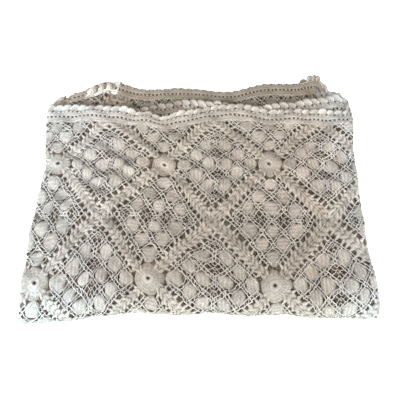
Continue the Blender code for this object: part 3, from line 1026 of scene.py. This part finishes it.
def curled(out, high, degrees, start):
    """Places out and high, bent up or down where the edging curls."""
    angle = np.radians(degrees)
    past = np.clip(out - start, 0, None)
    bend = np.minimum(past / CURL_RADIUS, np.abs(angle)) * np.sign(angle)
    rest = past - np.abs(bend) * CURL_RADIUS
    new_out = out - past + CURL_RADIUS * np.sin(np.abs(bend)) + rest * np.cos(bend)
    rise = np.sign(angle) * CURL_RADIUS * (1 - np.cos(bend)) + rest * np.sin(bend)
    return new_out - high * np.sin(bend), rise + high * np.cos(bend)


def side_length(side):
    """The length of one side of the field."""
    return (FLAT_WIDTH if side in (UPPER_SIDE, LOWER_SIDE) else FLAT_LENGTH) - 2 * EDGING_WIDTH


def modules_along(side):
    """How many modules one side has between its corners."""
    return round(side_length(side) / MODULE)


def edge_places(side, module, out, high, bent_at=None):
    """Flat points of places in modules along a side and its corner, bent as one at bent_at."""
    count, length = modules_along(side), side_length(side)
    start = FIELD_CORNERS[side]
    both = np.stack([module, module if bent_at is None else np.full(module.shape, bent_at)])
    turn, bent_turn = np.clip(both - count, 0, CORNER_MODULES) / CORNER_MODULES
    straight, bent_straight = np.minimum(both, count) / count * length
    heading = (side + turn) * math.pi / 2
    out = out * (1 + SQUARER * np.sin(turn * math.pi) ** 2)
    if side == LOWER_SIDE:
        places, degrees, bends = zip(*CURL)
        from_side = start[0] - bent_straight
        degrees = np.interp(from_side, places, degrees) - CORNER_DROOP * np.clip(2 * bent_turn - 1, 0, 1)
        degrees = np.where(from_side < CURL_END, degrees, 0.0)
        out, high = curled(out, high, degrees, np.interp(from_side, places, bends))
    if side == FIRST_SIDE:
        out, high = curled(out, high, SIDE_DROOP, np.interp(bent_straight, *SIDE_BEND))
    first_heading = side * math.pi / 2
    across = start[0] + straight * math.cos(first_heading) + out * np.sin(heading)
    along = start[1] + straight * math.sin(first_heading) - out * np.cos(heading)
    return np.stack([across, along, high], axis=1)


def edging_painted_light(side, module):
    """Painted light on the edging where it is folded over into the light, and painted shade on the middle
    hem in the upper hem's hollow.
    """
    straight = module / modules_along(side) * side_length(side)
    if side == UPPER_SIDE:
        across, (start, end), amount = FIELD_CORNERS[side][0] + straight, SHADED_HEM, SHADED_LIFT
    elif side == LOWER_SIDE:
        across, (start, end), amount = FIELD_CORNERS[side][0] - straight, TURNED_HEM, TURNED_LIFT
    else:
        return 0.0
    return np.where((across > start) & (across < end), amount, 0.0)


def ribbon(side, section, parts_each):
    """A closed strip along one side, its section given as (out, high) all round."""
    count = modules_along(side) + CORNER_MODULES
    stations = np.linspace(0, count, count * parts_each + 1)
    section = np.array(section)
    module = np.repeat(stations, len(section))
    out = np.tile(section[:, 0], len(stations))
    out = out - np.where(out < 0, FOOT_WAVER * np.sin(1.7 * module + 2 * np.sin(0.6 * module)), 0)
    high = np.tile(section[:, 1], len(stations)) + HIGH_WAVER * np.sin(module * 2.4)
    points = edge_places(side, module, out, high)
    ring = np.arange(len(section))
    here = np.arange(len(stations) - 1)[:, None] * len(section) + ring
    beside = here - ring + np.roll(ring, -1)
    corners = np.stack([here, beside, beside + len(section), here + len(section)], axis=2)
    lift = built_up(RIBBON_LIFT, np.clip(high / RIBBON_TOP, 0, 1))
    return points, corners.reshape(-1, 4), lift + edging_painted_light(side, module)


def shell():
    """One shell: a rounded fan of stitches, thick in its middle, turned under at its rim."""
    around, outwards, corners = grid(10, 6)
    angle, out = math.pi / 2 - around * math.pi / 2, (outwards + 1) / 2
    reach = np.where(out > 0.84, 0.0, np.minimum(out / 0.67, 1.0))
    width = reach ** 0.8 * np.cos(angle) * SHELL_HALF
    length = reach * (0.25 + 0.75 * np.sin(angle) ** 0.7)
    ridge = np.abs(np.sin(SHELL_STITCHES * angle)) * reach
    rounded = reach ** 0.7 * np.sqrt(np.clip(1 - reach ** 6, 0, 1))
    high = built_up(SHELL_HIGH, rounded, ridge * reach * (1 - reach ** 4))
    high = np.where(out > 0.7, -0.0006, high) - 0.0018 * width
    lift = built_up(SHELL_LIFT, rounded, (ridge - 0.5) * reach, width)
    return np.stack([width, length, high], axis=1), corners, lift


def bar(start, end, lean, half_width, top):
    """One stitch that crosses an open row."""
    bpy.ops.mesh.primitive_cube_add(size=2)
    points, corners = parts_of(bpy.context.object)
    module = points[:, 0] * half_width + points[:, 1] * lean
    out = np.where(points[:, 1] > 0, end, start)
    upper = points[:, 2] > 0
    high = np.where(upper, top, -0.0004)
    return np.stack([module, out, high], axis=1), corners, built_up(BAR_LIFT, upper)


def edging(name, side, material):
    """The edging of one side and the corner after it."""
    parts = [ribbon(side, BAND_SECTION, 3), ribbon(side, RIB_SECTION, 3)]
    shell_points, shell_corners, shell_lift = shell()
    for index in range(modules_along(side) + CORNER_MODULES):
        middle = index + 0.5
        lighter = edging_painted_light(side, middle)
        for place in BAR_PLACES:
            for sizes in BARS:
                points, corners, lift = bar(*sizes)
                laid = edge_places(side, index + place + points[:, 0], points[:, 1], points[:, 2], middle)
                parts.append((laid, corners, lift + lighter))
        size = 1 + SHELL_UNEVEN * chance.uniform(-1, 1)
        lean = SHELL_LEAN + SHELL_LEAN_UNEVEN * chance.uniform(-1, 1)
        tilt = SHELL_TILT * chance.uniform(0, 1)
        module = middle + shell_points[:, 0] * size + lean * shell_points[:, 1]
        out = SHELL_START + SHELL_LENGTH * shell_points[:, 1] * min(1.0, size)
        if side == LOWER_SIDE and middle > modules_along(side) - DRAWN_IN_MODULES:
            out = out - DRAWN_IN
        high = shell_points[:, 2] + tilt * shell_points[:, 1]
        parts.append((edge_places(side, module, out, high, middle), shell_corners, shell_lift + lighter))
    return make_piece(name, *joined(parts), material)


edging_cotton = cotton("edging_cotton", EDGING_SHADE)
upper_edging = edging("upper_edging", UPPER_SIDE, edging_cotton)
right_edging = edging("last_side_edging", LAST_SIDE, edging_cotton)
lower_edging = edging("lower_edging", LOWER_SIDE, under_cotton)
left_edging = edging("first_side_edging", FIRST_SIDE, edging_cotton)
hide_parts("scalloped_edging")
